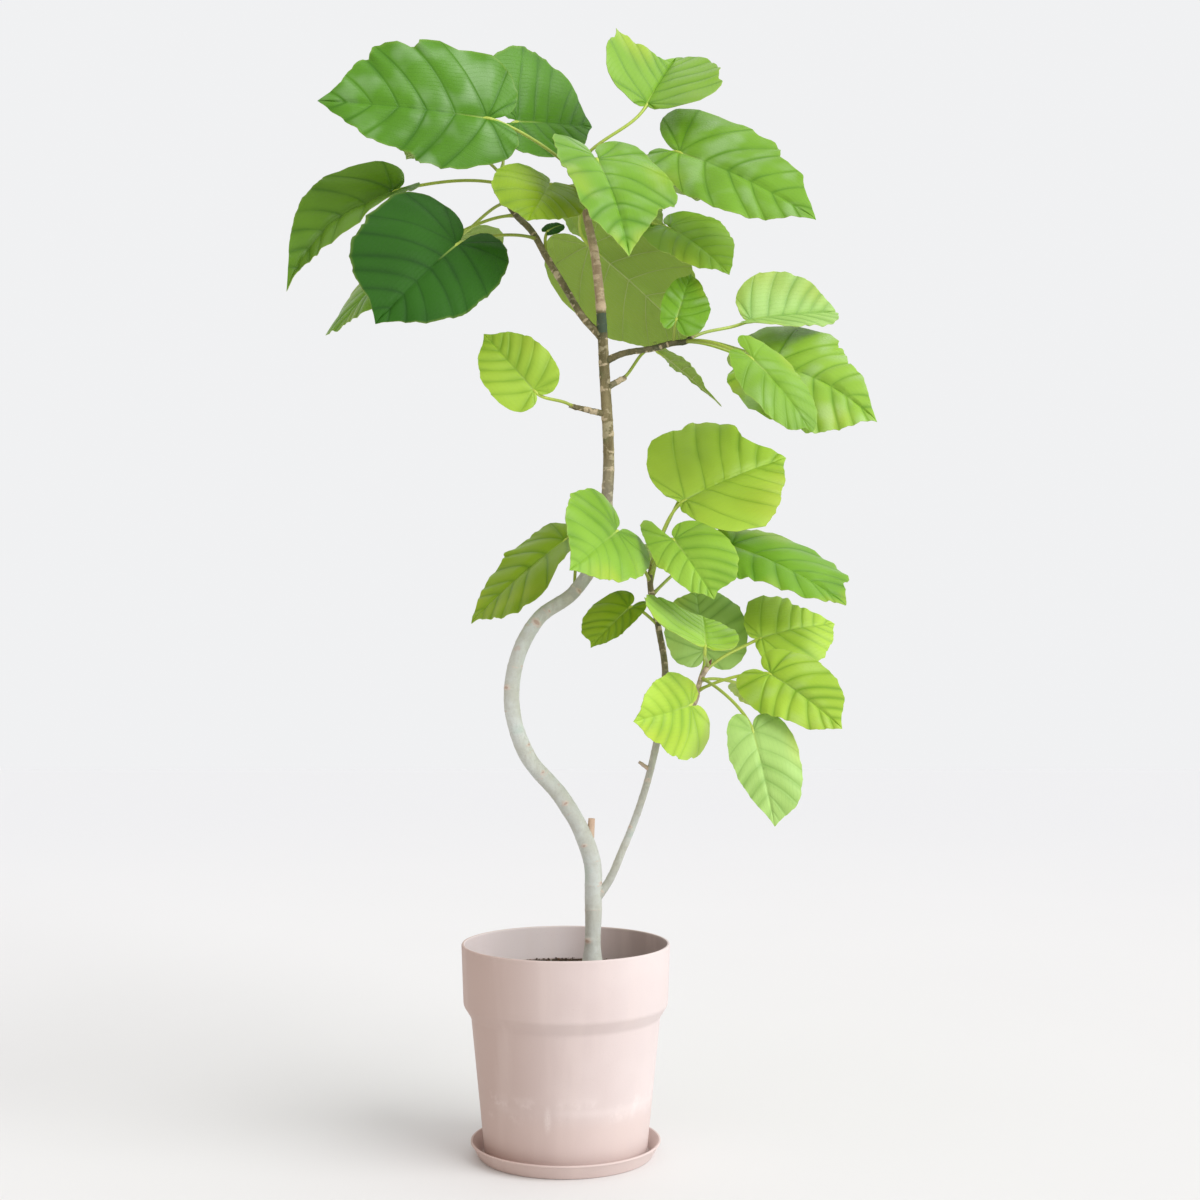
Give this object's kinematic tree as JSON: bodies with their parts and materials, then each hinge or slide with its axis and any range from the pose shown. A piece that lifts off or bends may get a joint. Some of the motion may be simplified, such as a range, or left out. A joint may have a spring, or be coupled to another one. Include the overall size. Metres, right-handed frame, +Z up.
{
  "type": "potted ficus umbellata",
  "caption": "Broad-leaved tree in a round pot on a saucer: a bowed trunk with a second stem, and large heart-shaped leaves in groups at the ends of the boughs.",
  "frame": {"origin": "centre of the saucer's flat underside", "axes": "+Z up, -Y towards the side that faces the viewer, +X to the viewer's right"},
  "size_m": [0.696, 0.4, 1.3609],
  "materials": {
    "pot_plastic": "matte, slightly rough moulded plastic in pinkish beige",
    "soil": "loose dark brown potting mix",
    "bark": "pale grey-green bark below, brown with ring scars above",
    "foliage": "satin yellow-green to dark green leaves with pale veins"
  },
  "bodies": {
    "root": {"saucer": "pot_plastic", "pot": "pot_plastic", "soil": "soil", "trunk_foot": "bark", "trunk_lower_bow": "bark", "trunk_upper_bow": "bark", "trunk_middle": "bark", "trunk_upper": "bark", "right_stem": "bark", "side_branch": "bark", "left_bough": "bark", "right_bough": "bark", "pruned_stub": "bark", "twig_spur": "bark", "crown_top": "foliage", "crown_left": "foliage", "crown_right": "foliage", "crown_right_stem": "foliage", "crown_side_branch": "foliage", "leaf_upper_right": "foliage", "leaf_upper_left": "foliage", "leaf_bow": "foliage", "leaf_right_stem": "foliage"}
  },
  "joints": []
}
